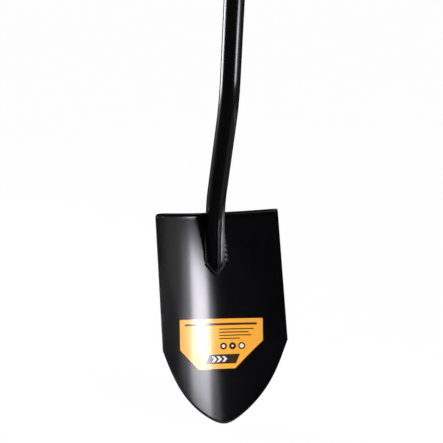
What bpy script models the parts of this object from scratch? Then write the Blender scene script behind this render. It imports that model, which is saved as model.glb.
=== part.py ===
"""Round point shovel: a dished steel blade with forward treads, welded to a bent tube handle.

Metres, +Z up. The straight part of the handle runs along Z through the origin, which is the
place where the hand holds it. The concave front of the blade looks towards -Y.
Most pieces are drawn in the blade's own frame: X across, Z up the blade, Y to its back,
with zero at the middle of the sheet, at the bottom of the dish, level with the treads.
"""
from math import cos, pi, radians, sin, sqrt, tan

import bmesh
import bpy
import numpy as np
from mathutils import Vector

# Whole shovel
OVERALL_LENGTH = 1.250
LIFT_ANGLE = radians(20.5)
GRIP_BELOW_END = 0.200
CLEARANCE = 0.0003

# Blade
SHEET = 0.0018
BLADE_LENGTH = 0.3372
TOP_WIDTH = 0.204
SHOULDER_WIDTH = 0.2066
SHOULDER_DROP = 0.2105
DISH_DEPTH = 0.0325
POINT_TAPER = 0.526
POINT_POWER = 3.28
TIP_ROUNDING = 0.017
BLADE_COLUMNS = 33
BLADE_ROWS = 20

# Treads, folded forward along the top edge
TREAD_DEPTH = 0.015
FOLD_RADIUS = 0.005
TREAD_CORNER = 0.006
NOTCH_GAP = 0.0006
NOTCH_START = 0.0085

# Handle tube
TUBE_DIAMETER = 0.031
TUBE_WALL = 0.0015
SEAT_DROP = 0.006
SEAT_ANGLE = radians(12.18)
NECK_ANGLE = radians(34.7)
NECK_START = 0.0115
NECK_RISE = 0.147
NECK_BEND_RADIUS = 0.130
HANDLE_BEND_RADIUS = 0.280
TOE_LENGTH = 0.018
TOE_RADIUS = 0.0012
TOE_POWER = 1.25
PROW_POWER = 3.5
TOE_STEPS = 8
RIDGE_CREASE = 0.37
RIDGE_ROUNDING = 0.05
RIDGE_TOP = -0.008
RIDGE_FULL = -0.032
TUBE_SIDES = 28

# Weld beads
BEAD_RADIUS = 0.0034
BEAD_RIPPLE = 0.10
BEAD_PITCH = 0.0045
BEAD_GAP = 0.0004
WELD_START = 0.016
BEAD_SIDES = 10

# End cap
CAP_LIP = 0.0010
CAP_HEAD = 0.010
CAP_EDGE = 0.004
CAP_SHANK = 0.028
CAP_WALL = 0.0020
CAP_RIB = 0.0005
CAP_RIB_COUNT = 3

# Label
LABEL_WIDTH = 0.140
LABEL_HEIGHT = 0.080
LABEL_CUT_LEFT = 0.033
LABEL_CUT_RIGHT = 0.044
LABEL_DROP = 0.170
LABEL_TILT = radians(2.9)
LABEL_THICKNESS = 0.0003

TUBE_RADIUS = TUBE_DIAMETER / 2
HALF_TOP = TOP_WIDTH / 2
HALF_SHOULDER = SHOULDER_WIDTH / 2
FACE = SHEET / 2


def clear_scene():
    for obj in list(bpy.data.objects):
        bpy.data.objects.remove(obj, do_unlink=True)


def material(name, colour, roughness, metallic):
    mat = bpy.data.materials.new(name)
    mat.use_nodes = True
    shader = mat.node_tree.nodes["Principled BSDF"]
    shader.inputs["Base Color"].default_value = (*colour, 1.0)
    shader.inputs["Roughness"].default_value = roughness
    shader.inputs["Metallic"].default_value = metallic
    return mat


def new_object(name, bm, mat, parent):
    """Turn a bmesh into a smooth-shaded object that hangs from a parent empty."""
    bmesh.ops.recalc_face_normals(bm, faces=bm.faces)
    mesh = bpy.data.meshes.new(name)
    bm.to_mesh(mesh)
    bm.free()
    mesh.shade_smooth()
    mesh.set_sharp_from_angle(angle=radians(35))
    obj = bpy.data.objects.new(name, mesh)
    if mat is not None:
        mesh.materials.append(mat)
    obj.parent = parent
    bpy.context.collection.objects.link(obj)
    return obj


def cut(obj, cutter):
    """Take the cutter away from the object, and keep the cutter out of the model."""
    boolean = obj.modifiers.new("cut_" + cutter.name, 'BOOLEAN')
    boolean.operation = 'DIFFERENCE'
    boolean.object = cutter
    boolean.solver = 'EXACT'
    cutter.hide_render = True
    cutter.display_type = 'WIRE'


def grid_faces(bm, points):
    """Skin a rows by columns array of points with quads and return the vertices."""
    rows, columns = points.shape[:2]
    verts = [[bm.verts.new(points[r, c]) for c in range(columns)] for r in range(rows)]
    for r in range(rows - 1):
        for c in range(columns - 1):
            bm.faces.new((verts[r][c], verts[r][c + 1], verts[r + 1][c + 1], verts[r + 1][c]))
    return verts


def slab(front, back):
    """Close two equal grids of points into one solid with walls round their edges."""
    bm = bmesh.new()
    first = grid_faces(bm, front)
    second = grid_faces(bm, back)
    rim = [(r, 0) for r in range(len(first))]
    rim += [(len(first) - 1, c) for c in range(1, len(first[0]))]
    rim += [(r, len(first[0]) - 1) for r in range(len(first) - 2, -1, -1)]
    rim += [(0, c) for c in range(len(first[0]) - 2, 0, -1)]
    for (r0, c0), (r1, c1) in zip(rim, rim[1:] + rim[:1]):
        bm.faces.new((first[r0][c0], first[r1][c1], second[r1][c1], second[r0][c0]))
    return bm


def dish(x):
    """Depth of the middle of the sheet at a distance from the centre line: a parabola."""
    return -DISH_DEPTH * (x / HALF_TOP) ** 2


def front_normal(x):
    """Unit vector out of the concave face, as its X and Y parts."""
    slope = 2 * DISH_DEPTH * x / HALF_TOP ** 2
    size = np.sqrt(1 + slope ** 2)
    return -slope / size, -1 / size


def face_point(x, z, lift):
    """Points a given height in front of the concave face of the blade."""
    nx, ny = front_normal(x)
    out = FACE + lift
    return np.stack([x + out * nx, dish(x) + out * ny, z + 0 * x], axis=-1)


def half_width(z):
    """Half the blade's width at a height: straight sides that widen down to the shoulders."""
    share = np.clip(-z / SHOULDER_DROP, 0, 1)
    return HALF_TOP + (HALF_SHOULDER - HALF_TOP) * share


def point_height(share):
    """Lowest height of the blade at a share of its half width: the ogive of the point."""
    along = np.linspace(0, 1, 600)
    across = 1 - POINT_TAPER * along - (1 - POINT_TAPER) * along ** POINT_POWER
    soft = TIP_ROUNDING / HALF_SHOULDER
    rounded = (np.sqrt(share ** 2 + soft ** 2) - soft) / (sqrt(1 + soft ** 2) - soft)
    drop = np.interp(rounded, across[::-1], along[::-1])
    return -SHOULDER_DROP - drop * (BLADE_LENGTH - SHOULDER_DROP)


def make_blade(seat):
    """Pressed sheet: treads, their folds, the dished body and the point, in one grid."""
    share = np.sin(np.linspace(-pi / 2, pi / 2, BLADE_COLUMNS))
    rows = []
    nx, ny = front_normal(share * HALF_TOP)
    for back in (0.0, 0.15, 0.45, 1.0):
        from_lip = back * TREAD_CORNER
        inset = TREAD_CORNER - sqrt(TREAD_CORNER ** 2 - (TREAD_CORNER - from_lip) ** 2)
        x = share * (HALF_TOP - inset)
        out = TREAD_DEPTH - from_lip
        rows.append(np.stack([x + out * nx, dish(x) + out * ny, 0 * x], axis=-1))
    for turn in np.linspace(pi / 2, 0, 6):
        x = share * HALF_TOP
        out = FOLD_RADIUS * (1 - cos(turn))
        z = 0 * x - FOLD_RADIUS * (1 - sin(turn))
        rows.append(np.stack([x + out * nx, dish(x) + out * ny, z], axis=-1))
    low = point_height(np.abs(share))
    for fall in np.linspace(0, 1, BLADE_ROWS + 1)[1:]:
        z = -FOLD_RADIUS + (low + FOLD_RADIUS) * fall
        x = share * half_width(z)
        rows.append(np.stack([x, dish(x), z], axis=-1))
    bm = bmesh.new()
    grid_faces(bm, np.array(rows))
    steel = material("black_painted_sheet", (0.012, 0.012, 0.014), 0.28, 0.0)
    blade = new_object("blade", bm, steel, seat)
    solidify = blade.modifiers.new("sheet", 'SOLIDIFY')
    solidify.thickness = SHEET
    solidify.offset = 0.0
    solidify.use_even_offset = True
    cut(blade, make_notch(seat))
    return blade


def make_notch(seat):
    """Cutter as round as the tube, with a gap, that lets the tube through the tread and its fold."""
    at = tube_corners()
    arc = bend_points(at["shoulder"], at["neck"], at["bend"], NECK_BEND_RADIUS, 24)
    points = [point for point in arc if point.y > -NOTCH_START]
    radius = TUBE_RADIUS + NOTCH_GAP
    return sweep("tread_notch", points, [(radius, radius)] * len(points), None, seat)


def tube_corners():
    """Corners of the tube's axis in the blade's middle plane, as (y, z), from the toe up.

    The axis passes through the blade's face at the shoulder, where the toe begins.
    """
    seat_y = -FACE - CLEARANCE
    start_y = seat_y - TUBE_RADIUS
    neck = (start_y - (NECK_START + SEAT_DROP) * tan(SEAT_ANGLE), NECK_START)
    shoulder_z = -SEAT_DROP - TUBE_RADIUS / tan(SEAT_ANGLE)
    bend_z = NECK_START + NECK_RISE
    bend = (neck[0] - NECK_RISE * tan(NECK_ANGLE), bend_z)
    return {
        "toe": Vector((seat_y + TOE_LENGTH * tan(SEAT_ANGLE), shoulder_z - TOE_LENGTH)),
        "shoulder": Vector((seat_y, shoulder_z)),
        "neck": Vector(neck),
        "bend": Vector(bend),
    }


def handle_length():
    """Length of the straight handle above its bend, so that tip to end is the overall length."""
    bend = tube_corners()["bend"]
    up = Vector((-sin(LIFT_ANGLE), cos(LIFT_ANGLE)))
    tip = Vector((0.0, -BLADE_LENGTH))
    return OVERALL_LENGTH - CAP_HEAD - (bend - tip).dot(up)


def tube_end():
    """Upper end of the tube's axis in the blade's middle plane."""
    up = Vector((-sin(LIFT_ANGLE), cos(LIFT_ANGLE)))
    return tube_corners()["bend"] + up * handle_length()


def bend_points(before, corner, after, radius, steps):
    """Points of the arc that rounds a corner of the axis."""
    into = (corner - before).normalized()
    out = (after - corner).normalized()
    turn = into.angle(out)
    reach = radius * tan(turn / 2)
    start = corner - into * reach
    side = Vector((-into.y, into.x))
    if side.dot(out) < 0:
        side = -side
    middle = start + side * radius
    return [middle - side * radius * cos(turn * k / steps) + into * radius * sin(turn * k / steps)
            for k in range(steps + 1)]


def tube_axis(extra_end):
    """Axis points from the toe to the end, and how far along the toe each one lies."""
    at = tube_corners()
    end = tube_end()
    up = (end - at["bend"]).normalized()
    points = [at["toe"].lerp(at["shoulder"], k / TOE_STEPS) for k in range(TOE_STEPS)]
    toe_share = [1 - k / TOE_STEPS for k in range(TOE_STEPS)]
    body = [at["shoulder"].lerp(at["neck"], share) for share in (0.0, 0.25, 0.5, 0.57, 0.64)]
    body += bend_points(at["shoulder"], at["neck"], at["bend"], NECK_BEND_RADIUS, 6)
    body += bend_points(at["neck"], at["bend"], end, HANDLE_BEND_RADIUS, 5)
    body += [end + up * extra_end]
    return points + body, toe_share + [0.0] * len(body)


def ridge_share(z):
    """How far the front of the tube is creased at a height: none at the tread, full further down."""
    share = min(max((RIDGE_TOP - z) / (RIDGE_TOP - RIDGE_FULL), 0.0), 1.0)
    return share * share * (3 - 2 * share)


def section(width, height, crease):
    """Section as (across, forward) pairs: a half circle behind, a half ellipse in front.

    A crease turns the front into a pointed arch of the same width and height.
    """
    pairs = []
    shift = crease * RIDGE_CREASE
    for k in range(TUBE_SIDES):
        angle = 2 * pi * k / TUBE_SIDES
        across, forward = cos(angle), sin(angle)
        if forward > 0:
            soft = sqrt(across ** 2 + RIDGE_ROUNDING ** 2) - RIDGE_ROUNDING
            soft /= sqrt(1 + RIDGE_ROUNDING ** 2) - RIDGE_ROUNDING
            arch = sqrt(max((1 + shift) ** 2 - (soft + shift) ** 2, 0.0))
            pairs.append((width * across, height * arch / sqrt(1 + 2 * shift)))
        else:
            pairs.append((width * across, width * forward))
    return pairs


def sweep(name, points, shapes, mat, seat):
    """Solid along an axis with the tube's section of a half width and a height at each point."""
    bm = bmesh.new()
    rings = []
    for i, (point, shape) in enumerate(zip(points, shapes)):
        before = points[max(i - 1, 0)]
        after = points[min(i + 1, len(points) - 1)]
        along = (after - before).normalized()
        front = Vector((-along.y, along.x))
        ring = []
        for across, forward in section(*shape, ridge_share(point.y)):
            flat = point + front * forward
            ring.append(bm.verts.new((across, flat.x, flat.y)))
        rings.append(ring)
    for low, high in zip(rings, rings[1:]):
        for k in range(TUBE_SIDES):
            n = (k + 1) % TUBE_SIDES
            bm.faces.new((low[k], low[n], high[n], high[k]))
    bm.faces.new(rings[0])
    bm.faces.new(rings[-1])
    return new_object(name, bm, mat, seat)


def toe_width(share):
    """Half width of the tube at a share of the way down the toe: nearly straight sides to a point."""
    return TOE_RADIUS + (TUBE_RADIUS - TOE_RADIUS) * (1 - share ** TOE_POWER)


def toe_height(share):
    """Height of the tube over its axis there: level at first, then falling like a prow to the face."""
    tip = TOE_RADIUS + TOE_LENGTH * tan(SEAT_ANGLE)
    return TUBE_RADIUS - (TUBE_RADIUS - tip) * share ** PROW_POWER


def make_sweep(name, shrink, extra_end, mat, seat):
    """Solid along the whole axis: the tube's outside made smaller by shrink."""
    points, toe_share = tube_axis(extra_end)
    shapes = [(toe_width(share) - shrink, toe_height(share) - shrink) for share in toe_share]
    kept = [pair for pair in zip(points, shapes) if min(pair[1]) >= TOE_RADIUS / 2]
    return sweep(name, *zip(*kept), mat, seat)


def make_bed(seat):
    """Block whose front is the blade's face plus the clearance: cuts what lies on the blade."""
    bottom = tube_corners()["toe"].y - 4 * TUBE_RADIUS
    x, z = np.meshgrid(np.linspace(-3, 3, 25) * TUBE_RADIUS, [bottom, -SEAT_DROP + CLEARANCE])
    front = face_point(x, z, CLEARANCE)
    back = front.copy()
    back[..., 1] = 4 * TUBE_RADIUS
    return new_object("blade_bed", slab(front, back), None, seat)


def make_tube(seat, bed):
    """Hollow bent tube, open at the end and along its seat on the blade."""
    paint = material("black_painted_tube", (0.012, 0.012, 0.013), 0.25, 0.0)
    tube = make_sweep("handle_tube", 0.0, 0.0, paint, seat)
    cut(tube, make_sweep("tube_bore", TUBE_WALL, TUBE_DIAMETER, None, seat))
    cut(tube, bed)
    return tube


def seam(z):
    """Half width of the tube where it meets the blade's face at a height."""
    at = tube_corners()
    if z < at["shoulder"].y:
        return toe_width(min((at["shoulder"].y - z) / TOE_LENGTH, 1.0))
    height = (z - at["shoulder"].y) * tan(SEAT_ANGLE)
    return sqrt(max(TUBE_RADIUS ** 2 - height ** 2, 0.0))


def bead_route(side):
    """Seam from the start of a side weld down to the toe, as (x, z) pairs on one side."""
    at = tube_corners()
    top = -SEAT_DROP - WELD_START
    run = [(side * seam(z), z) for z in np.linspace(top, at["shoulder"].y, 30)]
    toe = [(side * seam(z), z) for z in np.linspace(at["shoulder"].y, at["toe"].y, 12)]
    return run, toe


def make_bead(name, route, seat, bed, tube_cutter, mat):
    """Weld run: a rippled round bead along the seam, cut back from the tube and the blade."""
    line = np.array(route)
    steps = np.linalg.norm(np.diff(line, axis=0), axis=1)
    reach = np.concatenate([[0.0], np.cumsum(steps)])
    count = max(int(reach[-1] / BEAD_PITCH * 4), 8)
    s = np.linspace(BEAD_GAP, reach[-1] - BEAD_GAP, count)
    x = np.interp(s, reach, line[:, 0])
    z = np.interp(s, reach, line[:, 1])
    centre = face_point(x, z, BEAD_RADIUS * 0.15)
    along = np.gradient(centre, axis=0)
    along /= np.linalg.norm(along, axis=1)[:, None]
    nx, ny = front_normal(x)
    out = np.stack([nx, ny, 0 * x], axis=-1)
    side = np.cross(along, out)
    side /= np.linalg.norm(side, axis=1)[:, None]
    out = np.cross(side, along)
    radius = BEAD_RADIUS * (1 + BEAD_RIPPLE * np.cos(2 * pi * s / BEAD_PITCH))
    bm = bmesh.new()
    rings = []
    for i in range(count):
        turn = np.linspace(0, 2 * pi, BEAD_SIDES, endpoint=False)[:, None]
        ring = centre[i] + radius[i] * (np.cos(turn) * side[i] + np.sin(turn) * out[i])
        rings.append([bm.verts.new(point) for point in ring])
    for low, high in zip(rings, rings[1:]):
        for k in range(BEAD_SIDES):
            n = (k + 1) % BEAD_SIDES
            bm.faces.new((low[k], low[n], high[n], high[k]))
    bm.faces.new(rings[0])
    bm.faces.new(rings[-1])
    bead = new_object(name, bm, mat, seat)
    cut(bead, tube_cutter)
    cut(bead, bed)
    return bead


def make_welds(seat, bed):
    """Left run, right run and the run round the toe."""
    paint = material("black_painted_weld", (0.016, 0.016, 0.017), 0.40, 0.0)
    keep_off = make_sweep("weld_clearance", -CLEARANCE, 0.0, None, seat)
    left, left_toe = bead_route(-1)
    right, right_toe = bead_route(1)
    make_bead("weld_left", left, seat, bed, keep_off, paint)
    make_bead("weld_right", right, seat, bed, keep_off, paint)
    make_bead("weld_toe", left_toe + right_toe[::-1], seat, bed, keep_off, paint)


def cap_profile():
    """Half section of the plug, from the middle of its top down the outside and up the inside."""
    head = TUBE_RADIUS + CAP_LIP
    shank = TUBE_RADIUS - TUBE_WALL - CLEARANCE
    slim = shank - CAP_RIB
    inside = slim - CAP_WALL
    profile = [(0.0, CAP_HEAD)]
    profile += [(head - CAP_EDGE * (1 - sin(a)), CAP_HEAD - CAP_EDGE * (1 - cos(a)))
                for a in np.linspace(0, pi / 2, 6)]
    profile += [(head, CLEARANCE), (slim, CLEARANCE)]
    pitch = CAP_SHANK / (CAP_RIB_COUNT + 1)
    for k in range(1, CAP_RIB_COUNT + 1):
        z = -pitch * k
        profile += [(slim, z + pitch / 4), (shank, z), (slim, z - pitch / 4)]
    profile += [(slim, -CAP_SHANK), (inside, -CAP_SHANK), (inside, -CAP_WALL), (0.0, -CAP_WALL)]
    return profile


def make_cap():
    """Turned plug: a head over the end of the tube and a ribbed hollow shank in its bore."""
    bm = bmesh.new()
    profile = [bm.verts.new((r, 0.0, z)) for r, z in cap_profile()]
    edges = [bm.edges.new(pair) for pair in zip(profile, profile[1:])]
    bmesh.ops.spin(bm, geom=profile + edges, cent=(0, 0, 0), axis=(0, 0, 1),
                   angle=2 * pi, steps=TUBE_SIDES, use_merge=True)
    bmesh.ops.remove_doubles(bm, verts=bm.verts, dist=1e-6)
    plastic = material("black_plastic_plug", (0.02, 0.02, 0.02), 0.5, 0.0)
    cap = new_object("end_cap", bm, plastic, None)
    cap.location = (0.0, 0.0, GRIP_BELOW_END - CAP_HEAD)
    return cap


def label_limits(across):
    """Top and bottom of the label at each place across it: the lower corners are cut off."""
    left = np.clip(1 - across / LABEL_CUT_LEFT, 0, 1) * LABEL_CUT_LEFT
    right = np.clip(1 - (LABEL_WIDTH - across) / LABEL_CUT_RIGHT, 0, 1) * LABEL_CUT_RIGHT
    return 0 * across, LABEL_HEIGHT - left - right


def make_label(seat):
    """Paper label that follows the dish of the blade, a clearance in front of it."""
    plain = np.linspace(LABEL_CUT_LEFT, LABEL_WIDTH - LABEL_CUT_RIGHT, 8)
    left = np.linspace(0, LABEL_CUT_LEFT, 5)[:-1]
    right = np.linspace(LABEL_WIDTH - LABEL_CUT_RIGHT, LABEL_WIDTH, 6)[1:]
    across = np.concatenate([left, plain, right])
    top, bottom = label_limits(across)
    down = np.linspace(0, 1, 6)[:, None]
    v = top + (bottom - top) * down
    u = across + 0 * v - LABEL_WIDTH / 2
    x = u * cos(LABEL_TILT) - v * sin(LABEL_TILT)
    z = -LABEL_DROP - u * sin(LABEL_TILT) - v * cos(LABEL_TILT)
    front = face_point(x, z, CLEARANCE + LABEL_THICKNESS)
    back = face_point(x, z, CLEARANCE)
    paper = material("yellow_label", (0.95, 0.47, 0.06), 0.45, 0.0)
    return new_object("label", slab(front, back), paper, seat)


def make_seat():
    """Empty that turns the blade's frame so that the straight handle stands on the Z axis."""
    end = tube_end()
    seat = bpy.data.objects.new("blade_frame", None)
    seat.rotation_euler = (-LIFT_ANGLE, 0, 0)
    turned_y = end.x * cos(LIFT_ANGLE) + end.y * sin(LIFT_ANGLE)
    turned_z = -end.x * sin(LIFT_ANGLE) + end.y * cos(LIFT_ANGLE)
    seat.location = (0, -turned_y, GRIP_BELOW_END - CAP_HEAD - turned_z)
    bpy.context.collection.objects.link(seat)
    return seat


def main():
    clear_scene()
    seat = make_seat()
    bed = make_bed(seat)
    make_blade(seat)
    make_tube(seat, bed)
    make_welds(seat, bed)
    make_label(seat)
    make_cap()


main()
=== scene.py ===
from math import cos, pi, radians, sin, sqrt, tan

import bpy
import numpy as np
from mathutils import Matrix, Vector


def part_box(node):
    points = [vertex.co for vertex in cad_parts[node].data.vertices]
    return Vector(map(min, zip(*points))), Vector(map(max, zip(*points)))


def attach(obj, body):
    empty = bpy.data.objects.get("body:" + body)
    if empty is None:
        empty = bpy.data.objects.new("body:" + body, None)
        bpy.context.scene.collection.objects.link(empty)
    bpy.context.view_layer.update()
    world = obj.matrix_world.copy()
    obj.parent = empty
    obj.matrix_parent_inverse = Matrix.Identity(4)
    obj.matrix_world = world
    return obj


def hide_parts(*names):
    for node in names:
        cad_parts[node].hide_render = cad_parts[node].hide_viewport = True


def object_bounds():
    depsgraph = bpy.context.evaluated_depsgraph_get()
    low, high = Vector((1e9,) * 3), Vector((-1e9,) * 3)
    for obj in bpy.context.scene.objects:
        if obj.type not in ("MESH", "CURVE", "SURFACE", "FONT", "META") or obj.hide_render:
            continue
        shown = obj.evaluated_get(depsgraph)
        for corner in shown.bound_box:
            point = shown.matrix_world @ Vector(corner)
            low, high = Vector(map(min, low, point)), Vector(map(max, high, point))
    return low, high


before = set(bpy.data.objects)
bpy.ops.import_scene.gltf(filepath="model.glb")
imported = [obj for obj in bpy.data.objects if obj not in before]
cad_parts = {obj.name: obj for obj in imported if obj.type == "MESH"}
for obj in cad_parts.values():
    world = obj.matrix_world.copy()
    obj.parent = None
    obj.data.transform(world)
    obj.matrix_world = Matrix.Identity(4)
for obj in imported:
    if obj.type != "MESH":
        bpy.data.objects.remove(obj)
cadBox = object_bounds()
print("stage: frame loaded with", len(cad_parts), "nodes")

# Sizes of the shovel in metres, the same as the solids have
# Blade frame: x across, z up the blade, y to its back, zero at mid sheet, trough and tread level
shovel = {
    "lift": radians(20.5),          # blade tilted forward from the handle's line
    "sheet": 0.0018,
    "bladeLength": 0.3372,
    "halfTop": 0.102,
    "halfShoulder": 0.1033,
    "shoulderDrop": 0.2105,
    "dishDepth": 0.0325,
    "tubeRadius": 0.0155,
    "seatGap": 0.0003,              # tube, welds and label stand this far off in the solids
    "capHead": 0.010,
    "overall": 1.250,
}
face = shovel["sheet"] / 2


def dish(x):
    # Parabola: depth of the middle of the sheet grows with the square of the distance from the trough
    return -shovel["dishDepth"] * (x / shovel["halfTop"]) ** 2


def frontNormal(x):
    # Unit normal of the parabola on its hollow side, as x and y parts
    slope = 2 * shovel["dishDepth"] * x / shovel["halfTop"] ** 2
    size = np.sqrt(1 + slope ** 2)
    return -slope / size, -1 / size


def onFace(x, z, lift):
    # Point of the hollow face at x and z, moved out along the normal by lift
    nx, ny = frontNormal(x)
    out = face + lift
    return np.stack([x + out * nx, dish(x) + out * ny, z + 0 * x], axis=-1)


def faceDepth(x):
    # y of the hollow face straight behind a point at x
    slope = 2 * shovel["dishDepth"] * x / shovel["halfTop"] ** 2
    return dish(x) - face * np.sqrt(1 + slope ** 2)


# Axis of the bent tube in the middle plane
tubeRun = {
    "seatAngle": radians(12.18),
    "neckAngle": radians(34.7),
    "neckStart": 0.0115,
    "neckRise": 0.147,
    "seatDrop": 0.006,             # the tube's back leaves the face this far below the tread
    "toeLength": 0.018,
    "bendRadii": (0.130, 0.280),   # neck and handle bends
    "arcSteps": 24,
    "straightStep": 0.012,
    "probe": 0.001,                # directions are taken between points this far to each side
}
seatY = -face - shovel["seatGap"]
shoulderZ = -tubeRun["seatDrop"] - shovel["tubeRadius"] / tan(tubeRun["seatAngle"])
toeZ = shoulderZ - tubeRun["toeLength"]


def tubeCorners():
    # Corners of the axis as (y, z): end of the toe, which lies behind the face, neck and handle's bend
    rise = tubeRun["neckStart"] + tubeRun["seatDrop"]
    neckY = seatY - shovel["tubeRadius"] - rise * tan(tubeRun["seatAngle"])
    bendY = neckY - tubeRun["neckRise"] * tan(tubeRun["neckAngle"])
    return np.array([
        (seatY + tubeRun["toeLength"] * tan(tubeRun["seatAngle"]), toeZ),
        (neckY, tubeRun["neckStart"]),
        (bendY, tubeRun["neckStart"] + tubeRun["neckRise"]),
    ])


handleUp = np.array([-sin(shovel["lift"]), cos(shovel["lift"])])
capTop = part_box("end_cap")[1].z
tipRise = (tubeCorners()[2] - (0, -shovel["bladeLength"])) @ handleUp
tubeTop = tubeCorners()[2] + handleUp * (shovel["overall"] - shovel["capHead"] - tipRise)


def tubeAxis():
    # Straight runs and arcs from the toe to the end, as (y, z) points
    corners = np.concatenate([tubeCorners(), [tubeTop]])
    runs = [corners[:1]]
    for before, corner, after, radius in zip(corners, corners[1:], corners[2:], tubeRun["bendRadii"]):
        into = (corner - before) / np.linalg.norm(corner - before)
        out = (after - corner) / np.linalg.norm(after - corner)
        angle = np.arccos(np.clip(into @ out, -1, 1))
        side = np.array([-into[1], into[0]])
        side = side if side @ out > 0 else -side
        start = corner - into * radius * tan(angle / 2)
        turn = np.linspace(0, angle, tubeRun["arcSteps"])[:, None]
        runs.append(start + side * radius * (1 - np.cos(turn)) + into * radius * np.sin(turn))
    runs.append(corners[-1:])
    return np.concatenate(runs)


def alongAxis(spots):
    # Points and unit directions of the axis at given lengths from the toe
    axis = tubeAxis()
    reach = np.concatenate([[0], np.cumsum(np.linalg.norm(np.diff(axis, axis=0), axis=1))])
    point = np.stack([np.interp(spots, reach, axis[:, k]) for k in (0, 1)], axis=-1)
    ahead = np.stack([np.interp(spots + tubeRun["probe"], reach, axis[:, k]) for k in (0, 1)], axis=-1)
    behind = np.stack([np.interp(spots - tubeRun["probe"], reach, axis[:, k]) for k in (0, 1)], axis=-1)
    along = ahead - behind
    return point, along / np.linalg.norm(along, axis=1)[:, None], reach[-1]


def toWorld(points):
    # Turns the blade frame about x so that the handle stands on z, with the tube's end under the cap
    c, s = cos(shovel["lift"]), sin(shovel["lift"])
    y, z = points[..., 1] - tubeTop[0], points[..., 2] - tubeTop[1]
    return np.stack([points[..., 0], y * c + z * s, -y * s + z * c + capTop - shovel["capHead"]], axis=-1)


def quads(index):
    # Quads between neighbouring rows and columns of a grid of point numbers
    corners = [index[:-1, :-1], index[:-1, 1:], index[1:, 1:], index[1:, :-1]]
    return np.stack(corners, axis=-1).reshape(-1, 4)


def skin(points, wrap=False):
    # Quads of a grid of points, closed round its columns on request
    index = np.arange(points[..., 0].size).reshape(points.shape[:2])
    if wrap:
        index = np.concatenate([index, index[:, :1]], axis=1)
    return quads(index)


def fan(ring, pole):
    # Triangles that close a ring of points on a pole
    return np.stack([ring, np.roll(ring, -1), np.full(len(ring), pole)], axis=-1)


def carried(rings):
    # Points and faces of rings carried along a path, closed on a pole at each end
    count, sides = rings.shape[:2]
    poles = np.stack([rings[0].mean(axis=0), rings[-1].mean(axis=0)])
    ring = np.arange(sides)
    faces = [skin(rings, wrap=True)[:, ::-1],
             fan(ring, count * sides), fan(ring[::-1] + (count - 1) * sides, count * sides + 1)]
    return np.concatenate([rings.reshape(-1, 3), poles]), faces


def newPiece(name, points, faces, node, material):
    # Puts points and faces into a mesh and hangs the piece on the frame
    mesh = bpy.data.meshes.new(name)
    lists = [part.tolist() for part in faces]
    mesh.from_pydata(points.reshape(-1, 3).tolist(), [], sum(lists, []))
    mesh.update()
    mesh.shade_smooth()
    mesh.materials.append(material)
    piece = bpy.data.objects.new(name, mesh)
    bpy.context.collection.objects.link(piece)
    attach(piece, "root")
    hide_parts(node)
    print("stage: made", name, "with", len(mesh.polygons), "faces")
    return piece


def addAttribute(piece, name, values):
    # Stores one number for each point of a piece
    data = piece.data.attributes.new(name, "FLOAT", "POINT")
    data.data.foreach_set("value", np.ascontiguousarray(values, dtype=np.float32).ravel())


class Wire:
    # One output in a node tree; arithmetic on wires adds Math nodes
    def __init__(self, tree, socket=None):
        self.tree = tree
        self.socket = socket

    def node(self, kind, settings=None, inputs=None, out=0):
        # Any node: its type, its settings first, then the values or wires of its sockets
        made = self.tree.nodes.new("ShaderNode" + kind)
        for key, value in (settings or {}).items():
            setattr(made, key, value)
        for key, value in (inputs or {}).items():
            socket = next(s for s in made.inputs if s.enabled and key in (s.name, s.identifier))
            if isinstance(value, Wire):
                self.tree.links.new(value.socket, socket)
            else:
                socket.default_value = value
        outputs = [s for s in made.outputs if s.enabled]
        found = outputs[out] if isinstance(out, int) else made.outputs[out]
        return Wire(self.tree, found)

    def maths(self, operation, first, second):
        return self.node("Math", {"operation": operation}, {"Value": first, "Value_001": second})

    def __add__(self, other):
        return self.maths("ADD", self, other)

    def __radd__(self, other):
        return self.maths("ADD", other, self)

    def __sub__(self, other):
        return self.maths("SUBTRACT", self, other)

    def __rsub__(self, other):
        return self.maths("SUBTRACT", other, self)

    def __mul__(self, other):
        return self.maths("MULTIPLY", self, other)

    def __rmul__(self, other):
        return self.maths("MULTIPLY", other, self)

    def __gt__(self, other):
        return self.maths("GREATER_THAN", self, other)

    def __lt__(self, other):
        return self.maths("LESS_THAN", self, other)

    def most(self, other):
        return self.maths("MAXIMUM", self, other)

    def into(self, socket):
        self.tree.links.new(self.socket, socket)


def newMaterial(name):
    # A material with its Principled shader and an empty wire to make nodes with
    material = bpy.data.materials.new(name)
    material.use_nodes = True
    shader = material.node_tree.nodes["Principled BSDF"]
    return material, shader, Wire(material.node_tree)


def ramp(wire, low, high):
    # Straight rise from 0 at low to 1 at high, held level outside
    return wire.node("MapRange", {"clamp": True}, {"Value": wire, "From Min": low, "From Max": high})


# Sprayed black enamel; each piece adds its own shades and roughness
enamel = {
    "scuff": (0.030, 0.030, 0.031), "bare": (0.045, 0.045, 0.047), "ior": 1.52,
    "driftRange": (0.3, 0.7), "peelScale": 420.0,
    "speckScale": 900.0, "speckRange": (0.70, 0.80), "speckRough": 0.08,
    "scratchTurn": (0.3, 0.2, 0.5), "scratchStretch": (1.0, 1.0, 0.035), "scratchScale": 260.0,
    "scratchFade": 0.06, "scratchShow": 0.02, "scratchRough": 0.04, "scratchCut": 0.10,
    "rubBase": 0.55, "rubDrift": 0.9, "rubRange": (0.62, 1.0), "rubShow": 0.05, "rubRough": 0.06,
}


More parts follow.
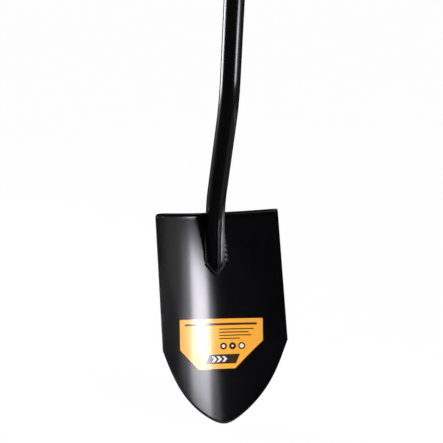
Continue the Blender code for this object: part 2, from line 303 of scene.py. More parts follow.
def blackEnamel(name, finish):
    # Slow drift of the film, orange peel, dull specks, hair scratches and thin paint on edges
    material, shader, wire = newMaterial(name)
    place = wire.node("TexCoord", out="Object")
    drift = wire.node("TexNoise", {}, {"Vector": place, "Scale": finish["driftScale"], "Detail": 4.0})
    peel = wire.node("TexNoise", {}, {"Vector": place, "Scale": finish["peelScale"], "Detail": 1.5})
    dots = wire.node("TexNoise", {}, {"Vector": place, "Scale": finish["speckScale"], "Detail": 2.0})
    turned = wire.node("Mapping", {}, {"Vector": place, "Rotation": finish["scratchTurn"],
                                       "Scale": finish["scratchStretch"]})
    hair = wire.node("TexNoise", {}, {"Vector": turned, "Scale": finish["scratchScale"], "Detail": 3.0})
    scratch = ramp(hair, finish["scratchFrom"], finish["scratchFrom"] + finish["scratchFade"])
    speck = ramp(dots, *finish["speckRange"])
    edge = wire.node("Attribute", {"attribute_name": "edge"}, out="Fac")
    rub = ramp(edge * (finish["rubBase"] + finish["rubDrift"] * drift), *finish["rubRange"])
    grey = wire.node("Mix", {"data_type": "RGBA"}, {
        "Factor": ramp(drift, *finish["driftRange"]),
        "A": (*finish["dark"], 1.0), "B": (*finish["light"], 1.0)})
    scuffed = wire.node("Mix", {"data_type": "RGBA"}, {
        "Factor": scratch * finish["scratchShow"], "A": grey, "B": (*finish["scuff"], 1.0)})
    worn = wire.node("Mix", {"data_type": "RGBA"}, {
        "Factor": rub * finish["rubShow"], "A": scuffed, "B": (*finish["bare"], 1.0)})
    worn.into(shader.inputs["Base Color"])
    rough = finish["rough"] + finish["roughDrift"] * (drift - 0.5)
    rough = rough + finish["scratchRough"] * scratch
    rough = rough + finish["speckRough"] * speck + finish["rubRough"] * rub
    rough.into(shader.inputs["Roughness"])
    height = peel - finish["scratchCut"] * scratch
    bump = wire.node("Bump", {}, {"Height": height, "Strength": 1.0, "Distance": finish["peelHeight"]})
    bump.into(shader.inputs["Normal"])
    shader.inputs["Metallic"].default_value = 0.0
    shader.inputs["IOR"].default_value = finish["ior"]
    return material


bladeFinish = dict(enamel, dark=(0.0022, 0.0022, 0.0027), light=(0.0036, 0.0036, 0.0042),
                   rough=0.165, roughDrift=0.03, driftScale=16.0, peelHeight=0.000018,
                   scratchFrom=0.66)

# Pressed sheet of the blade with its treads
blade = {
    "columns": 101,            # in each half
    "treadDepth": 0.015,
    "foldRadius": 0.005,
    "treadCorner": 0.006,
    "cornerRows": 7,
    "flatRows": 5,
    "foldRows": 14,
    "bodyRows": 92,
    "crowd": 1.5,              # rows close up towards the cutting edge
    "pointTaper": 0.526,
    "pointPower": 3.28,
    "tipRounding": 0.017,
    "notchGap": 0.0006,
    "notchRounds": 5,
    "rollWidth": 0.0030,       # strip of the cutting edge that is turned back
    "rollDepth": 0.00055,
    "rollFade": 0.06,          # the turned strip comes in over this length below the shoulders
    "edgeRound": 0.0006,
    "edgeSegments": 3,
    "edgeAngle": radians(50),  # sharper corners than this are rounded
    "outlineSteps": 1200,
    "trim": 0.9999,            # keeps the rounded sides inside the solid's box
    "wearReach": 0.004,
}


def pointOutline(share):
    # Ogive of the point: the half width falls as a straight taper plus a power of the way down
    along = np.linspace(0, 1, blade["outlineSteps"])
    across = 1 - blade["pointTaper"] * along - (1 - blade["pointTaper"]) * along ** blade["pointPower"]
    soft = blade["tipRounding"] / shovel["halfShoulder"]
    rounded = (np.sqrt(share ** 2 + soft ** 2) - soft) / (sqrt(1 + soft ** 2) - soft)
    drop = np.interp(rounded, across[::-1], along[::-1])
    return -shovel["shoulderDrop"] - drop * (shovel["bladeLength"] - shovel["shoulderDrop"])


def sideWidth(z):
    # Straight sides that widen a little down to the shoulders
    part = np.clip(-z / shovel["shoulderDrop"], 0, 1)
    return shovel["halfTop"] + (shovel["halfShoulder"] - shovel["halfTop"]) * part


def notchHalf(out, z):
    # Half width of the notch in a row: the tube's circle with a gap, at a distance forward of the sheet
    # The row's bend depends on that half width, so it is put back in until it settles
    radius = shovel["tubeRadius"] + blade["notchGap"]
    axis = tubeAxis()
    middle = np.interp(z, axis[:, 1], axis[:, 0])
    half = 0 * out
    for step in range(blade["notchRounds"]):
        reach = dish(half) + out * frontNormal(half)[1] - middle
        across = np.sqrt(np.clip(radius ** 2 - reach ** 2, 0, None))
        half = across / (1 - 2 * out * shovel["dishDepth"] / shovel["halfTop"] ** 2)
    return half


def bladeGrid():
    # Right half in rows: from the tread's lip back to the fold, round it, then down the dished body
    share = np.sin(np.linspace(0, pi / 2, blade["columns"]))
    corner, fold, top = blade["treadCorner"], blade["foldRadius"], shovel["halfTop"]
    back = np.concatenate([corner * (1 - np.cos(np.linspace(0, pi / 2, blade["cornerRows"]))),
                           np.linspace(corner, blade["treadDepth"] - fold, blade["flatRows"])[1:-1]])
    turn = np.linspace(pi / 2, 0, blade["foldRows"])
    out = np.concatenate([blade["treadDepth"] - back, fold * (1 - np.cos(turn))])[:, None]
    z = np.concatenate([0 * back, -fold * (1 - np.sin(turn))])[:, None]
    inset = corner - np.sqrt(corner ** 2 - np.clip(corner - back, 0, None) ** 2)
    inset = np.concatenate([inset, 0 * turn])[:, None]
    half = notchHalf(out, z)
    nx, ny = frontNormal(half + (top - half) * share)
    x = half + (top - inset - half) * share
    tread = np.stack([x + out * nx, dish(x) + out * ny, z + 0 * x], axis=-1)
    low = pointOutline(share)
    fall = 1 - (1 - np.linspace(0, 1, blade["bodyRows"])[1:, None]) ** blade["crowd"]
    z = -fold + (low + fold) * fall
    x = share * sideWidth(z)
    slope = np.gradient(low, share * shovel["halfShoulder"])
    gap = np.minimum((z - low) / np.sqrt(1 + slope ** 2), sideWidth(z) - x)
    point = np.clip((-z - shovel["shoulderDrop"]) / blade["rollFade"], 0, 1)
    roll = blade["rollDepth"] * point * np.clip(1 - gap / blade["rollWidth"], 0, 1) ** 2
    nx, ny = frontNormal(x)
    body = np.stack([(x - roll * nx) * blade["trim"], dish(x) - roll * ny, z], axis=-1)
    lip = np.clip(1 - np.concatenate([back, 1 + turn])[:, None] / blade["wearReach"], 0, 1)
    sides = np.clip(1 - (1 - share) * top / blade["wearReach"], 0, 1)
    edge = np.clip(1 - gap / blade["wearReach"], 0, 1)
    wear = np.maximum(np.concatenate([lip + 0 * share, edge]), sides)
    notched = np.concatenate([half[:, 0] > 0, np.zeros(len(body), bool)])
    return np.concatenate([tread, body]), wear, notched


def makeBlade():
    # The right half and its mirror image, joined along the middle below the notch
    right, wear, notched = bladeGrid()
    points = np.concatenate([(right * (-1, 1, 1))[:, ::-1], right], axis=1)
    wear = np.concatenate([wear[:, ::-1], wear], axis=1)
    columns = blade["columns"]
    index = np.arange(wear.size).reshape(wear.shape)
    index[~notched, columns] = index[~notched, columns - 1]
    faces = np.concatenate([quads(index[:, :columns]), quads(index[:, columns:])])
    used = np.unique(faces)
    renumber = np.zeros(wear.size, int)
    renumber[used] = np.arange(len(used))
    piece = newPiece("bladeSheet", toWorld(points).reshape(-1, 3)[used], [renumber[faces]],
                     "blade", blackEnamel("bladeEnamel", bladeFinish))
    addAttribute(piece, "edge", wear.ravel()[used])
    wall = piece.modifiers.new("sheet", "SOLIDIFY")
    wall.thickness = shovel["sheet"]
    wall.offset = 0.0
    wall.use_even_offset = True
    rim = piece.modifiers.new("roundedEdges", "BEVEL")
    rim.width = blade["edgeRound"]
    rim.segments = blade["edgeSegments"]
    rim.limit_method = "ANGLE"
    rim.angle_limit = blade["edgeAngle"]
    rim.harden_normals = True


tubeFinish = dict(enamel, dark=(0.0024, 0.0024, 0.0026), light=(0.0038, 0.0038, 0.0040),
                  rough=0.17, roughDrift=0.05, driftScale=20.0, peelHeight=0.000014,
                  scratchFrom=0.67)

# Bent tube with a ridge down its seat and a pointed toe
tube = {
    "sides": 128,
    "wall": 0.0015,
    "boreDepth": 0.060,
    "toeRadius": 0.0012,
    "toePower": 1.25,
    "prowPower": 3.5,
    "toeRows": 26,
    "bendsEnd": 0.40,          # both bends lie within this length from the toe
    "bendStep": 0.0025,
    "crowd": 0.6,              # sides close up towards the ridge
    "ridgeCrease": 0.37,
    "ridgeRounding": 0.008,
    "ridgeFrom": -0.013,
    "ridgeFull": -0.036,
    "sink": 0.0004,            # the seat is pressed this far into the sheet's face
    "endRound": 0.0004,
    "endRows": 4,
    "endClear": 0.004,         # no plain row this close to the end
    "sharp": radians(50),      # least angle of an edge that isn't shaded smooth
}


def toeWidth(share):
    # Half width at a share of the way down the toe: falls as one minus a power, nearly straight
    small = tube["toeRadius"]
    return small + (shovel["tubeRadius"] - small) * (1 - share ** tube["toePower"])


def toeHeight(share):
    # Height over the axis there: one minus a high power, level at first and then a prow
    tip = tube["toeRadius"] + tubeRun["toeLength"] * tan(tubeRun["seatAngle"])
    return shovel["tubeRadius"] - (shovel["tubeRadius"] - tip) * share ** tube["prowPower"]


def tubeSection(width, height, z):
    # Half circle behind; in front an arc about a centre moved to the far side, so both meet in a ridge
    # The sides crowd towards the ridge by a cosine
    turn = np.linspace(0, 2 * pi, tube["sides"], endpoint=False)
    turn = turn + tube["crowd"] * np.cos(turn)
    across, forward = np.cos(turn), np.sin(turn)
    rise = np.clip((tube["ridgeFrom"] - z) / (tube["ridgeFrom"] - tube["ridgeFull"]), 0, 1)
    shift = tube["ridgeCrease"] * rise ** 2 * (3 - 2 * rise)
    soft = np.sqrt(across ** 2 + tube["ridgeRounding"] ** 2) - tube["ridgeRounding"]
    soft = soft / soft.max()
    arch = np.sqrt(np.clip((1 + shift) ** 2 - (soft + shift) ** 2, 0, None) / (1 + 2 * shift))
    return width * across, np.where(forward > 0, height * arch, width * forward)


def makeTube():
    # Section carried along the axis from the toe to the end, then back down the bore
    length = alongAxis(np.zeros(1))[2]
    toe = tubeRun["toeLength"] / cos(tubeRun["seatAngle"])
    start = toe * (1 - np.cos(np.linspace(0, pi / 2, tube["toeRows"])))
    bends = np.arange(toe, tube["bendsEnd"], tube["bendStep"])
    straight = np.arange(tube["bendsEnd"], length - tube["endClear"], tubeRun["straightStep"])
    bow = np.linspace(0, pi / 2, tube["endRows"])
    end = length - tube["endRound"] * (1 - np.sin(bow))
    spots = np.concatenate([start, bends[1:], straight, end])
    share = np.clip(1 - spots / toe, 0, 1)
    width, height = toeWidth(share), toeHeight(share)
    inner = shovel["tubeRadius"] - tube["wall"]
    rounding = tube["endRound"] * (1 - np.cos(bow))
    width[-len(bow):] -= rounding
    height[-len(bow):] -= rounding
    spots = np.concatenate([spots, [length, length - tube["boreDepth"]]])
    width = np.concatenate([width, [inner, inner]])[:, None]
    height = np.concatenate([height, [inner, inner]])[:, None]
    point, along = alongAxis(spots)[:2]
    x, lift = tubeSection(width, height, point[:, 1:])
    y = point[:, :1] - along[:, 1:] * lift
    z = point[:, 1:] + along[:, :1] * lift
    y = np.minimum(y, faceDepth(x) + tube["sink"])
    points, faces = carried(np.stack([x, y, z], axis=-1))
    piece = newPiece("handleTube", toWorld(points), faces, "handle_tube",
                     blackEnamel("tubeEnamel", tubeFinish))
    piece.data.set_sharp_from_angle(angle=tube["sharp"])


weldFinish = dict(tubeFinish, rough=0.20, peelHeight=0.00003, dark=(0.004, 0.004, 0.0042),
                  light=(0.007, 0.007, 0.0072))

# Weld beads along the seam of tube and blade, laid by hand: the right one is thicker and coarser
weld = {
    "radius": 0.0039,
    "ripple": 0.16,
    "pitch": 0.0045,
    "gap": 0.0004,
    "start": 0.016,
    "rise": 0.15,              # middle of the bead above the face, as a share of its radius
    "sides": 20,
    "stepsPerPitch": 10,
    "runSteps": 60,
    "noseSteps": 40,
    "blunt": 0.02,             # least square of the end's share of the radius
    "floor": -0.0008,          # lowest part of a bead, inside the sheet
    "sag": 0.9,                # ripples bow back along the run by this share of a pitch
    "past": 0.0,               # run past the shoulder
    "fill": 0.0,               # share of the room under the tube's side that the bead fills
    "stand": 0.0,              # distance out from the seam
}
beads = {
    "weldLeft": dict(weld, radius=0.0034, ripple=0.10),
    "weldRight": dict(weld, radius=0.0047, ripple=0.18, pitch=0.0080, past=0.003, fill=0.4, stand=0.0014),
    "weldToe": weld,
}


def seamHalf(z):
    # Half width of the tube where it meets the face: a chord of its circle, then the toe's width
    height = np.clip(z - shoulderZ, 0, None) * tan(tubeRun["seatAngle"])
    chord = np.sqrt(np.clip(shovel["tubeRadius"] ** 2 - height ** 2, 0, None))
    share = np.clip((shoulderZ - z) / tubeRun["toeLength"], 0, 1)
    return np.where(z < shoulderZ, toeWidth(share), chord)


def makeWeld(name, node, x, z, material):
    # Bead carried along the seam: its ends are round, its radius ripples and the ripples bow back
    bead = beads[name]
    line = np.stack([x, z], axis=-1)
    reach = np.concatenate([[0], np.cumsum(np.linalg.norm(np.diff(line, axis=0), axis=1))])
    count = int(reach[-1] / bead["pitch"] * bead["stepsPerPitch"])
    s = np.linspace(bead["gap"], reach[-1] - bead["gap"], count)
    x, z = np.interp(s, reach, x), np.interp(s, reach, z)
    middle = onFace(x, z, 0.0)
    along = np.gradient(middle, axis=0)
    along /= np.linalg.norm(along, axis=1)[:, None]
    nx, ny = frontNormal(x)
    out = np.stack([nx, ny, 0 * x], axis=-1)
    side = np.cross(along, out)
    side /= np.linalg.norm(side, axis=1)[:, None]
    turn = np.linspace(0, 2 * pi, bead["sides"], endpoint=False)
    bow = bead["sag"] * (1 - np.sin(turn)) / 2
    wave = np.cos(2 * pi * (s[:, None] / bead["pitch"] + bow))
    inset = np.clip(1 - np.minimum(s, s[::-1]) / bead["radius"], 0, 1)
    ends = np.sqrt(np.clip(1 - inset ** 2, bead["blunt"], 1))
    radius = bead["radius"] * ends[:, None] * (1 + bead["ripple"] * wave)
    high = np.maximum(bead["radius"] * bead["rise"] + radius * np.sin(turn), bead["floor"])
    wide = radius * np.cos(turn)
    rings = middle[:, None] + wide[..., None] * side[:, None] + high[..., None] * out[:, None]
    points, faces = carried(rings)
    newPiece(name, toWorld(points), faces, node, material)


def makeWelds():
    # One bead down each side of the seat and one round the toe
    paint = blackEnamel("weldEnamel", weldFinish)
    for name, node, hand in (("weldLeft", "weld_left", -1), ("weldRight", "weld_right", 1)):
        bead = beads[name]
        top, low = -tubeRun["seatDrop"] - bead["start"], shoulderZ - bead["past"]
        run = np.linspace(top, low, bead["runSteps"])
        room = shovel["tubeRadius"] - seamHalf(np.maximum(run, shoulderZ))
        makeWeld(name, node, hand * (seamHalf(run) + bead["fill"] * room + bead["stand"]), run, paint)
    nose = np.linspace(shoulderZ, toeZ, beads["weldToe"]["noseSteps"])
    around = np.concatenate([nose, nose[::-1]])
    half = np.concatenate([-seamHalf(nose), seamHalf(nose[::-1])])
    makeWeld("weldToe", "weld_toe", half, around, paint)


# Moulded plug in the end of the handle
cap = {
    "lip": 0.0010,
    "edge": 0.004,
    "shank": 0.028,
    "wall": 0.0020,
    "rib": 0.0005,
    "ribs": 3,
    "ringAt": 0.0085,          # shallow moulded ring in the top
    "ringWidth": 0.0010,
    "ringDepth": 0.0004,
    "underRim": ((0.0, 0.0012), (0.0002, 0.0004), (0.0006, 0.0003)),  # inset and rise under the head
    "poleRing": 0.003,         # smallest ring round each pole
    "ringSteps": 9, "edgeSteps": 10, "shankSteps": 57,
    "sides": 72,
    "sharp": radians(40),
    "dark": (0.010, 0.010, 0.010), "light": (0.016, 0.016, 0.0165),
    "rough": 0.42, "roughFlow": 0.14, "roughGrain": 0.08,
    "flowScale": 60.0, "flowRange": (0.3, 0.7),
    "grainScale": 1400.0, "grainHeight": 0.00003,
}


def capPlastic():
    # Moulded plastic: fine grain and faint flow marks
    material, shader, wire = newMaterial("capPlastic")
    place = wire.node("TexCoord", out="Object")
    grain = wire.node("TexNoise", {}, {"Vector": place, "Scale": cap["grainScale"], "Detail": 2.0})
    flow = wire.node("TexNoise", {}, {"Vector": place, "Scale": cap["flowScale"], "Detail": 3.0})
    tone = wire.node("Mix", {"data_type": "RGBA"}, {
        "Factor": ramp(flow, *cap["flowRange"]), "A": (*cap["dark"], 1.0), "B": (*cap["light"], 1.0)})
    tone.into(shader.inputs["Base Color"])
    rough = cap["rough"] + cap["roughFlow"] * (flow - 0.5) + cap["roughGrain"] * grain
    rough.into(shader.inputs["Roughness"])
    bump = wire.node("Bump", {}, {"Height": grain, "Strength": 1.0, "Distance": cap["grainHeight"]})
    bump.into(shader.inputs["Normal"])
    return material


def makeCap():
    # Profile of radius and height turned about z: head with a round edge, then the ribbed hollow shank
    top = shovel["capHead"]
    head = shovel["tubeRadius"] + cap["lip"]
    shank = shovel["tubeRadius"] - tube["wall"] - shovel["seatGap"]
    slim = shank - cap["rib"]
    inside = slim - cap["wall"]
    dip = np.linspace(-1, 1, cap["ringSteps"])
    ring = np.stack([cap["ringAt"] + dip * cap["ringWidth"],
                     top - cap["ringDepth"] * np.cos(dip * pi / 2) ** 2], axis=-1)
    bow = np.linspace(0, pi / 2, cap["edgeSteps"])
    edge = np.stack([head - cap["edge"] * (1 - np.sin(bow)),
                     top - cap["edge"] * (1 - np.cos(bow))], axis=-1)
    under = [(head - inset, rise) for inset, rise in cap["underRim"]]
    # Each rib is a tent that falls to nothing a quarter of a pitch away
    pitch = cap["shank"] / (cap["ribs"] + 1)
    down = np.linspace(0.0, -cap["shank"], cap["shankSteps"])
    bulge = np.clip(1 - np.abs((down / -pitch - 0.5) % 1 - 0.5) * 4, 0, 1)
    bulge = np.where((down < -pitch / 2) & (down > -cap["shank"] + pitch / 2), bulge, 0)
    ribs = np.stack([slim + cap["rib"] * bulge, down], axis=-1)
    profile = np.concatenate([
        [(cap["poleRing"], top)], ring, edge, under, [(slim, shovel["seatGap"])], ribs[1:],
        [(inside, -cap["shank"]), (inside, -cap["wall"]), (cap["poleRing"], -cap["wall"])]])
    turn = np.linspace(0, 2 * pi, cap["sides"], endpoint=False)
    radius, height = profile[:, :1], profile[:, 1:] + capTop - top
    points, faces = carried(
        np.stack([radius * np.cos(turn), radius * np.sin(turn), height + 0 * turn], axis=-1))
    piece = newPiece("endCap", points, faces, "end_cap", capPlastic())
    piece.data.set_sharp_from_angle(angle=cap["sharp"])


# Coated label on the blade, u across and v down from its upper left corner, in millimetres in the shader
label = {
    "width": 0.140,
    "height": 0.080,
    "cutLeft": 0.033,
    "cutRight": 0.044,
    "drop": 0.170,
    "tilt": radians(2.9),
    "low": 0.0,                # underside on the paint
    "high": 0.0005,
    "columns": 113,
    "rows": 33,
    "sharp": radians(50),
    "yellow": (0.956, 0.450, 0.055),
    "amber": (0.93, 0.40, 0.045),
    "ink": (0.010, 0.010, 0.011),
    "pale": (0.80, 0.78, 0.72),
    "rough": 0.17, "roughCloud": 0.04, "roughInk": 0.02,
    "ior": 1.60,
    "cloudScale": 35.0, "grainScale": 2600.0, "rippleScale": 55.0,
    "grainShare": 0.2, "tintRange": (0.3, 0.7),           # drift between amber and yellow
    "inkCover": 0.94,          # ink in the thinnest places
    "grainBump": 0.02, "bumpHeight": 0.00004,
    "band": (9, 131, 7.0, 10.5),                          # left, right, top and foot of a bold rule
    "rules": ((16, 126), (21, 118), (26, 122), (31, 104)),    # height of each thin rule and its end
    "ruleStart": 70, "ruleWeight": 1.7,
    "discs": ((77, 44, 2.6), (92, 44, 1.7), (107, 44, 3.4)),  # middle of each disc and radius inside it
    "discRadius": 5.6,
    "panel": (52, 104, 57, 72), "lean": 0.45,             # slanted panel with chevrons
    "chevrons": (56, 65, 74), "chevronWeight": 4.5, "chevronHalf": 4.5,
}


def labelPaper():
    # Print in plain shapes: rules, discs and a slanted panel in dark ink on a warm yellow ground
    material, shader, wire = newMaterial("labelPaper")
    uv = wire.node("UVMap", {"uv_map": "print"})
    split = wire.node("SeparateXYZ", {}, {"Vector": uv}, out="X")
    node = split.socket.node
    u = Wire(wire.tree, node.outputs["X"]) * 1000
    v = Wire(wire.tree, node.outputs["Y"]) * 1000

    def box(across, left, right, top, foot):
        return (across > left) * (across < right) * (v > top) * (v < foot)

    def union(shapes):
        whole = shapes[0]
        for shape in shapes[1:]:
            whole = whole.most(shape)
        return whole

    left, right, top, foot = label["panel"]
    level = (top + foot) / 2
    fold = (v - level).most(level - v)
    slant = top * label["lean"]
    panel = box(u + v * label["lean"], left + slant, right + slant, top, foot)
    dark, light = [box(u, *label["band"]), panel], []
    for height, end in label["rules"]:
        dark.append(box(u, label["ruleStart"], end, height, height + label["ruleWeight"]))
    for du, dv, inside in label["discs"]:
        spread = (u - du) * (u - du) + (v - dv) * (v - dv)
        dark.append(spread < label["discRadius"] ** 2)
        light.append(spread < inside ** 2)
    for start in label["chevrons"]:
        arrow = u + fold
        near = start + label["chevronHalf"]
        stripe = (arrow > near) * (arrow < near + label["chevronWeight"])
        light.append(stripe * (fold < label["chevronHalf"]))
    ink, bright = union(dark), union(light)
    place = wire.node("TexCoord", out="Object")
    cloud = wire.node("TexNoise", {}, {"Vector": place, "Scale": label["cloudScale"], "Detail": 4.0})
    grain = wire.node("TexNoise", {}, {"Vector": place, "Scale": label["grainScale"], "Detail": 2.0})
    ripple = wire.node("TexNoise", {}, {"Vector": place, "Scale": label["rippleScale"], "Detail": 2.0})
    tint = cloud * (1 - label["grainShare"]) + grain * label["grainShare"]
    ground = wire.node("Mix", {"data_type": "RGBA"}, {
        "Factor": ramp(tint, *label["tintRange"]),
        "A": (*label["amber"], 1.0), "B": (*label["yellow"], 1.0)})
    cover = label["inkCover"] + (1 - label["inkCover"]) * grain
    printed = wire.node("Mix", {"data_type": "RGBA"}, {
        "Factor": ink * cover, "A": ground, "B": (*label["ink"], 1.0)})
    picked = wire.node("Mix", {"data_type": "RGBA"}, {
        "Factor": bright, "A": printed, "B": (*label["pale"], 1.0)})
    picked.into(shader.inputs["Base Color"])
    rough = label["rough"] + label["roughCloud"] * (cloud - 0.5) + label["roughInk"] * ink
    rough.into(shader.inputs["Roughness"])
    height = grain * label["grainBump"] + ripple
    bump = wire.node("Bump", {}, {"Height": height, "Strength": 1.0, "Distance": label["bumpHeight"]})
    bump.into(shader.inputs["Normal"])
    shader.inputs["IOR"].default_value = label["ior"]
    return material


def makeLabel():
    # Sheet on the hollow face: straight top, lower corners cut off; front and back joined round the rim
    across = np.linspace(0, label["width"], label["columns"])
    left = np.clip(label["cutLeft"] - across, 0, None)
    right = np.clip(label["cutRight"] - (label["width"] - across), 0, None)
    bottom = label["height"] - left - right
    v = bottom * np.linspace(0, 1, label["rows"])[:, None]
    u = across + 0 * v
    middle = u - label["width"] / 2
    c, s = cos(label["tilt"]), sin(label["tilt"])
    x = middle * c - v * s
    z = -label["drop"] - middle * s - v * c
    front, back = onFace(x, z, label["high"]), onFace(x, z, label["low"])
    rows, columns = u.shape
    count = rows * columns
    index = np.arange(count).reshape(rows, columns)
    rim = np.concatenate([index[0], index[1:, -1], index[-1, -2::-1], index[-2:0:-1, 0]])
    wall = np.stack([rim, np.roll(rim, -1), np.roll(rim, -1) + count, rim + count], axis=-1)
    faces = [skin(front)[:, ::-1], skin(back) + count, wall]
    points = np.concatenate([front.reshape(-1, 3), back.reshape(-1, 3)])
    piece = newPiece("labelSheet", toWorld(points), faces, "label", labelPaper())
    corners = np.zeros(len(piece.data.loops), int)
    piece.data.loops.foreach_get("vertex_index", corners)
    spots = np.stack([u.ravel(), v.ravel()], axis=-1)
    layer = piece.data.uv_layers.new(name="print")
    layer.data.foreach_set("uv", spots[corners % count].astype(np.float32).ravel())
    piece.data.set_sharp_from_angle(angle=label["sharp"])


makeBlade()
makeTube()
makeWelds()
makeCap()
makeLabel()

# White floor and background, and dark cards that only the paint's reflections see
studio = {
    "floorHalf": 40.0,
    "floorColour": (0.86, 0.86, 0.86, 1.0),
    "seenWhite": 0.98,         # share of plain white in what the camera sees of the floor
    "worldFill": 0.25,
}
cards = {
    "frontCard": {"headings": (-112, 58), "grey": 0.012},
    "rightCard": {"headings": (58, 105), "grey": 0.20, "near": 1.4},
    "rightFloor": {"headings": (36, 108), "grey": 0.19, "far": 1.1, "round": 0.02, "height": 0.02,
                   "above": 0.004},
    "backCard": {"headings": (105, 212), "grey": 0.04},
    "leftCard": {"headings": (-148, -112), "grey": 0.12},
}
cardShape = {"near": 0.15, "far": 3.2, "round": 0.6, "height": 3.6, "above": 0.002,
             "bendSteps": 9, "turnSteps": 40}


def seenDirectly(wire):
    # 1 on rays from the camera and on mirror or glass rays, which all show the white background
    rays = wire.node("LightPath", out="Is Camera Ray").socket.node
    camera, glossy, through = (Wire(wire.tree, rays.outputs[name]) for name in
                               ("Is Camera Ray", "Is Glossy Ray", "Is Transmission Ray"))
    return camera.most(glossy).most(through)


def makeFloor():
    # Level with the tip: white where it is seen, with a little of the matt floor that takes the shadow
    low = cadBox[0][2]
    half = studio["floorHalf"]
    mesh = bpy.data.meshes.new("floor")
    corners = [(-half, -half, low), (half, -half, low), (half, half, low), (-half, half, low)]
    mesh.from_pydata(corners, [], [(0, 1, 2, 3)])
    material = bpy.data.materials.new("paleFloor")
    material.use_nodes = True
    tree = material.node_tree
    tree.nodes.clear()
    wire = Wire(tree)
    matt = wire.node("BsdfDiffuse", {}, {"Color": studio["floorColour"]})
    white = wire.node("Emission", {}, {"Color": (1, 1, 1, 1), "Strength": 1.0})
    mixed = wire.node("MixShader", {}, {
        "Fac": seenDirectly(wire) * studio["seenWhite"], "Shader": matt, "Shader_001": white})
    output = tree.nodes.new("ShaderNodeOutputMaterial")
    mixed.into(output.inputs["Surface"])
    mesh.materials.append(material)
    floor = bpy.data.objects.new("floor", mesh)
    bpy.context.collection.objects.link(floor)


def makeCard(name, setting):
    # Profile along the floor, round a corner and up, carried about z over a range of headings
    shape = dict(cardShape, **setting)
    bow = np.linspace(0, pi / 2, shape["bendSteps"])
    reach, bend = shape["far"], shape["round"]
    radius = np.concatenate([[shape["near"]], reach - bend + bend * np.sin(bow), [reach]])
    height = np.concatenate([[0.0], bend * (1 - np.cos(bow)), [shape["height"]]])
    turn = np.radians(np.linspace(*shape["headings"], shape["turnSteps"]))[:, None]
    level = cadBox[0][2] + shape["above"]
    points = np.stack([np.sin(turn) * radius, -np.cos(turn) * radius, level + height + 0 * turn], axis=-1)
    mesh = bpy.data.meshes.new(name)
    mesh.from_pydata(points.reshape(-1, 3).tolist(), [], skin(points).tolist())
    mesh.shade_smooth()
    material, shader = newMaterial(name)[:2]
    shader.inputs["Base Color"].default_value = (*(shape["grey"],) * 3, 1.0)
    shader.inputs["Roughness"].default_value = 1.0
    shader.inputs["Specular IOR Level"].default_value = 0.0
    mesh.materials.append(material)
    card = bpy.data.objects.new(name, mesh)
    card.visible_camera = card.visible_diffuse = card.visible_shadow = False
    card.visible_transmission = card.visible_volume_scatter = False
    bpy.context.collection.objects.link(card)


def makeWorld():
    # White wherever it is seen, straight or mirrored, and a dimmer even fill for the rest
    world = bpy.data.worlds.new("studio")
    world.use_nodes = True
    tree = world.node_tree
    background = tree.nodes["Background"]
    wire = Wire(tree)
    seen = seenDirectly(wire)
    (studio["worldFill"] + (1 - studio["worldFill"]) * seen).into(background.inputs["Strength"])
    background.inputs["Color"].default_value = (1, 1, 1, 1)
    bpy.context.scene.world = world


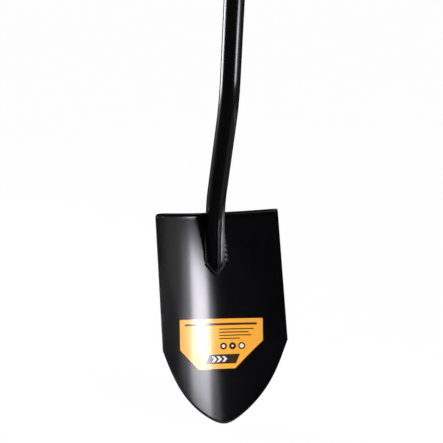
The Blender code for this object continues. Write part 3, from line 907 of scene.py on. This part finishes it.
# Lamps: heading is turned from the front towards +x, as seen from the blade
lampShape = {"colour": (1.0, 1.0, 1.0), "spread": 180.0, "parts": 1}
keyLight = dict(lampShape, colour=(0.93, 0.91, 1.0))
lamps = {
    "key": dict(keyLight, heading=38.6, distance=1.20, z=-0.559, size=(0.385, 0.290), radiance=21.3,
                aim=(0.0, 0.0, -0.85), spread=80.0),
    "halo": dict(keyLight, heading=40.0, distance=1.21, z=-0.57, size=(0.74, 0.28), radiance=3.0,
                 aim=(0.0, 0.0, -0.85), spread=80.0),
    "foot": dict(keyLight, heading=40.5, distance=1.22, z=-0.795, size=(0.42, 0.18), radiance=14.0,
                 aim=(0.0, 0.0, -0.985), spread=24.0, parts=5),
    "footHalo": dict(keyLight, heading=41.0, distance=1.23, z=-0.795, size=(0.84, 0.20), radiance=2.4,
                     aim=(0.0, 0.0, -0.985), spread=24.0, parts=8),
    "rim": dict(lampShape, heading=-132.0, distance=1.60, z=-0.27, size=(0.92, 1.04), radiance=12.0,
                aim=(0.0, 0.0, -0.27)),
    "rimTail": dict(lampShape, heading=-132.0, distance=1.60, z=-0.90, size=(0.92, 0.22), radiance=0.6,
                    aim=(0.0, 0.0, -0.90)),
    "low": dict(lampShape, heading=84.0, distance=1.20, z=-0.965, size=(0.44, 0.10), radiance=78.0,
                aim=(0.0, -0.02, -0.815), spread=8.0, parts=6),
    "wash": dict(lampShape, heading=57.0, distance=1.40, z=-0.36, size=(0.86, 0.62), radiance=0.42,
                 aim=(0.0, 0.0, -0.36)),
    "top": dict(lampShape, heading=10.0, distance=0.70, z=0.75, size=(1.6, 1.2), radiance=2.4,
                aim=(0.0, 0.0, -0.88)),
}


def makeLamp(name, setting):
    # Row of equal panels round the shovel; power from the radiance straight ahead of a panel,
    # which a grid of narrow spread leaves as it is
    count = setting["parts"]
    width, height = setting["size"]
    half = radians(setting["spread"]) / 2
    for k in range(count):
        lamp = bpy.data.lights.new(name, "AREA")
        lamp.shape = "RECTANGLE"
        lamp.size, lamp.size_y = width / count, height
        lamp.spread = 2 * half
        lamp.energy = setting["radiance"] * pi * lamp.size * lamp.size_y * (1 - half / tan(half))
        lamp.color = setting["colour"]
        turn = radians(setting["heading"]) + (k - (count - 1) / 2) * lamp.size / setting["distance"]
        spot = Vector((sin(turn) * setting["distance"], -cos(turn) * setting["distance"], setting["z"]))
        holder = bpy.data.objects.new(name, lamp)
        holder.location = spot
        holder.rotation_euler = (Vector(setting["aim"]) - spot).to_track_quat("-Z", "Y").to_euler()
        holder.visible_camera = False
        bpy.context.collection.objects.link(holder)


# Camera as the photograph's: its place, what it looks at and how it is turned
view = {
    "eye": (-0.43469, -1.26473, -0.34496),
    "aim": (0.01841, 0.06299, -0.74929),
    "roll": radians(2.775),
    "lens": 72.39,
    "sensor": 36.0,
    "far": 60.0,
}


def makeCamera():
    # Looks from the eye to the aim, turned about that line by the roll
    eye, aim = Vector(view["eye"]), Vector(view["aim"])
    lens = bpy.data.cameras.new("photoView")
    lens.lens = view["lens"]
    lens.sensor_width = view["sensor"]
    lens.clip_end = view["far"]
    camera = bpy.data.objects.new("photoView", lens)
    turn = (aim - eye).to_track_quat("-Z", "Y").to_matrix() @ Matrix.Rotation(view["roll"], 3, "Z")
    camera.matrix_world = Matrix.Translation(eye) @ turn.to_4x4()
    bpy.context.collection.objects.link(camera)
    bpy.context.scene.camera = camera


makeFloor()
makeWorld()
for cardName, cardSetting in cards.items():
    makeCard(cardName, cardSetting)
for lampName, lampSetting in lamps.items():
    makeLamp(lampName, lampSetting)
makeCamera()
bpy.context.scene.view_settings.view_transform = "Standard"
print("stage: floor, lamps and camera set")
